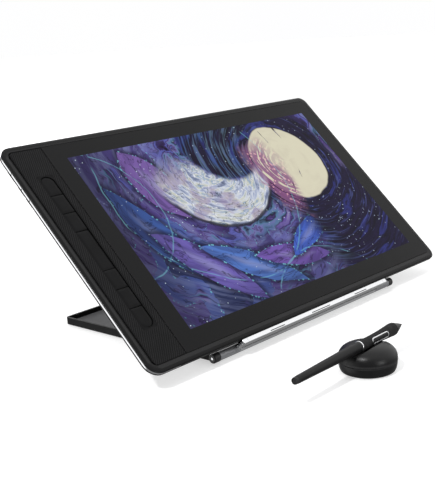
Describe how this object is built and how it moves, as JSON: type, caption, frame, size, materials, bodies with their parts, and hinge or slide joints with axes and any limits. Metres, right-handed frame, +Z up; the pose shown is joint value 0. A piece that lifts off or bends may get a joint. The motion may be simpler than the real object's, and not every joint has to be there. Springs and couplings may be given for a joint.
{
  "type": "pen drawing tablet",
  "caption": "Pen display tablet with side keys, propped on a folding friction-hinged stand, with its pen lying across a round pen stand.",
  "frame": {"origin": "middle of the underside of the front rubber strip of the stand's base, on the desk", "axes": "+X along the tablet's long edge away from the keys, +Y to the back of the desk, +Z up"},
  "size_m": [0.4311, 0.3371, 0.1861],
  "materials": {
    "cover_glass": "etched anti-glare glass, black border, display lit",
    "key_panel": "fine diagonal ribs, satin",
    "mid_frame": "black anodised, fine blasted",
    "side_trim": "polished",
    "back_cover": "black anodised, fine blasted",
    "keys": "satin moulded",
    "display_panel": "laminated display module",
    "circuit_board": "solder mask",
    "shield": "brushed sheet",
    "port_metal": "drawn shell",
    "rubber": "matte",
    "stand_metal": "black powder coat",
    "liner": "matte fine-grained mat",
    "bright_metal": "polished, clear anodised",
    "dark_steel": "black nickel",
    "hinge_metal": "satin anodised",
    "steel_shaft": "ground",
    "cap_plastic": "moulded",
    "pen_plastic": "soft-touch moulded",
    "pen_rubber": "soft grip",
    "pen_stand_shell": "soft-touch coating",
    "nib": "polyacetal"
  },
  "bodies": {
    "base": {"stand_base": "stand_metal", "base_liner": "liner", "base_foot_front": "rubber", "base_foot_rear": "rubber", "hinge_sleeve_left": "dark_steel", "hinge_sleeve_right": "dark_steel", "hinge_cap_left": "cap_plastic", "hinge_cap_right": "cap_plastic", "hinge_screw_left": "bright_metal", "hinge_screw_right": "bright_metal"},
    "plate": {"support_plate": "stand_metal", "plate_pad_1": "rubber", "plate_pad_2": "rubber", "lip_bar": "bright_metal", "lip_pad_1": "rubber", "lip_pad_2": "rubber", "lip_pad_3": "rubber", "hinge_tube": "hinge_metal", "hinge_shaft": "steel_shaft"},
    "tablet": {"mid_frame": "mid_frame", "side_trim": "side_trim", "cover_glass": "cover_glass", "key_panel": "key_panel", "back_cover": "back_cover", "touch_bar": "keys", "key_board": "circuit_board", "lcd_panel": "display_panel", "digitizer_board": "circuit_board", "shield_plate": "shield", "main_board": "circuit_board", "usb_c_port_1": "port_metal", "usb_c_port_2": "port_metal", "tablet_foot_1": "rubber", "tablet_foot_2": "rubber", "tablet_foot_3": "rubber", "tablet_foot_4": "rubber"},
    "key_1": {"express_key_1": "keys"},
    "key_2": {"express_key_2": "keys"},
    "key_3": {"express_key_3": "keys"},
    "key_4": {"express_key_4": "keys"},
    "key_5": {"express_key_5": "keys"},
    "key_6": {"express_key_6": "keys"},
    "power_button": {"power_key": "keys"},
    "brightness_up": {"brightness_up_key": "keys"},
    "brightness_down": {"brightness_down_key": "keys"},
    "pen_stand": {"pen_stand_base": "pen_stand_shell", "pen_stand_foot": "rubber", "nib_tray": "pen_stand_shell"},
    "pen_stand_inner": {"pen_stand_cup": "rubber"},
    "pen_stand_dome": {"pen_stand_lid": "pen_stand_shell"},
    "pen": {"pen_tail_cap": "pen_plastic", "pen_barrel": "pen_plastic", "pen_ring": "bright_metal", "pen_grip": "pen_rubber", "pen_button_bezel": "bright_metal", "pen_nose": "pen_plastic"},
    "pen_button": {"pen_side_button": "pen_plastic"},
    "nib": {"pen_nib": "nib"}
  },
  "joints": [
    {"name": "stand_tilt", "type": "hinge", "parent": "base", "child": "plate", "pos_m": [0, -0.011, 0.0055], "axis": [1, 0, 0], "range_deg": [-44.2, 30.8]},
    {"name": "tablet_lift", "type": "slide", "parent": "plate", "child": "tablet", "axis": [0, -0.6972, 0.7169], "range_m": [0, 0.04]},
    {"name": "key_1_press", "type": "slide", "parent": "tablet", "child": "key_1", "axis": [0, 0.6972, -0.7169], "range_m": [0, 0.0006], "stiffness_N_per_m": 2500},
    {"name": "key_2_press", "type": "slide", "parent": "tablet", "child": "key_2", "axis": [0, 0.6972, -0.7169], "range_m": [0, 0.0006], "stiffness_N_per_m": 2500},
    {"name": "key_3_press", "type": "slide", "parent": "tablet", "child": "key_3", "axis": [0, 0.6972, -0.7169], "range_m": [0, 0.0006], "stiffness_N_per_m": 2500},
    {"name": "key_4_press", "type": "slide", "parent": "tablet", "child": "key_4", "axis": [0, 0.6972, -0.7169], "range_m": [0, 0.0006], "stiffness_N_per_m": 2500},
    {"name": "key_5_press", "type": "slide", "parent": "tablet", "child": "key_5", "axis": [0, 0.6972, -0.7169], "range_m": [0, 0.0006], "stiffness_N_per_m": 2500},
    {"name": "key_6_press", "type": "slide", "parent": "tablet", "child": "key_6", "axis": [0, 0.6972, -0.7169], "range_m": [0, 0.0006], "stiffness_N_per_m": 2500},
    {"name": "power_button_press", "type": "slide", "parent": "tablet", "child": "power_button", "axis": [1, 0, 0], "range_m": [0, 0.0005], "stiffness_N_per_m": 3000},
    {"name": "brightness_up_press", "type": "slide", "parent": "tablet", "child": "brightness_up", "axis": [1, 0, 0], "range_m": [0, 0.0005], "stiffness_N_per_m": 3000},
    {"name": "brightness_down_press", "type": "slide", "parent": "tablet", "child": "brightness_down", "axis": [1, 0, 0], "range_m": [0, 0.0005], "stiffness_N_per_m": 3000},
    {"name": "pen_stand_lift", "type": "slide", "parent": "base", "child": "pen_stand", "axis": [0, 0, 1], "range_m": [0, 0.12]},
    {"name": "dome_lift", "type": "slide", "parent": "pen_stand", "child": "pen_stand_inner", "axis": [0, 0, 1], "range_m": [0, 0.06]},
    {"name": "dome_twist", "type": "hinge", "parent": "pen_stand_inner", "child": "pen_stand_dome", "pos_m": [-0.0763, -0.1258, 0.01], "axis": [0, 0, 1], "range_deg": [0, 30]},
    {"name": "pen_lift", "type": "slide", "parent": "pen_stand_dome", "child": "pen", "axis": [0, 0, 1], "range_m": [0, 0.12]},
    {"name": "pen_button_rock", "type": "hinge", "parent": "pen", "child": "pen_button", "pos_m": [-0.06295, -0.12901, 0.02429], "axis": [-0.0042, 0.1736, 0.9848], "range_deg": [-2.5, 2.5], "stiffness_Nm_per_rad": 0.25},
    {"name": "nib_press", "type": "slide", "parent": "pen", "child": "nib", "axis": [-0.9997, -0.0241, 0], "range_m": [0, 0.0005], "stiffness_N_per_m": 4000}
  ]
}
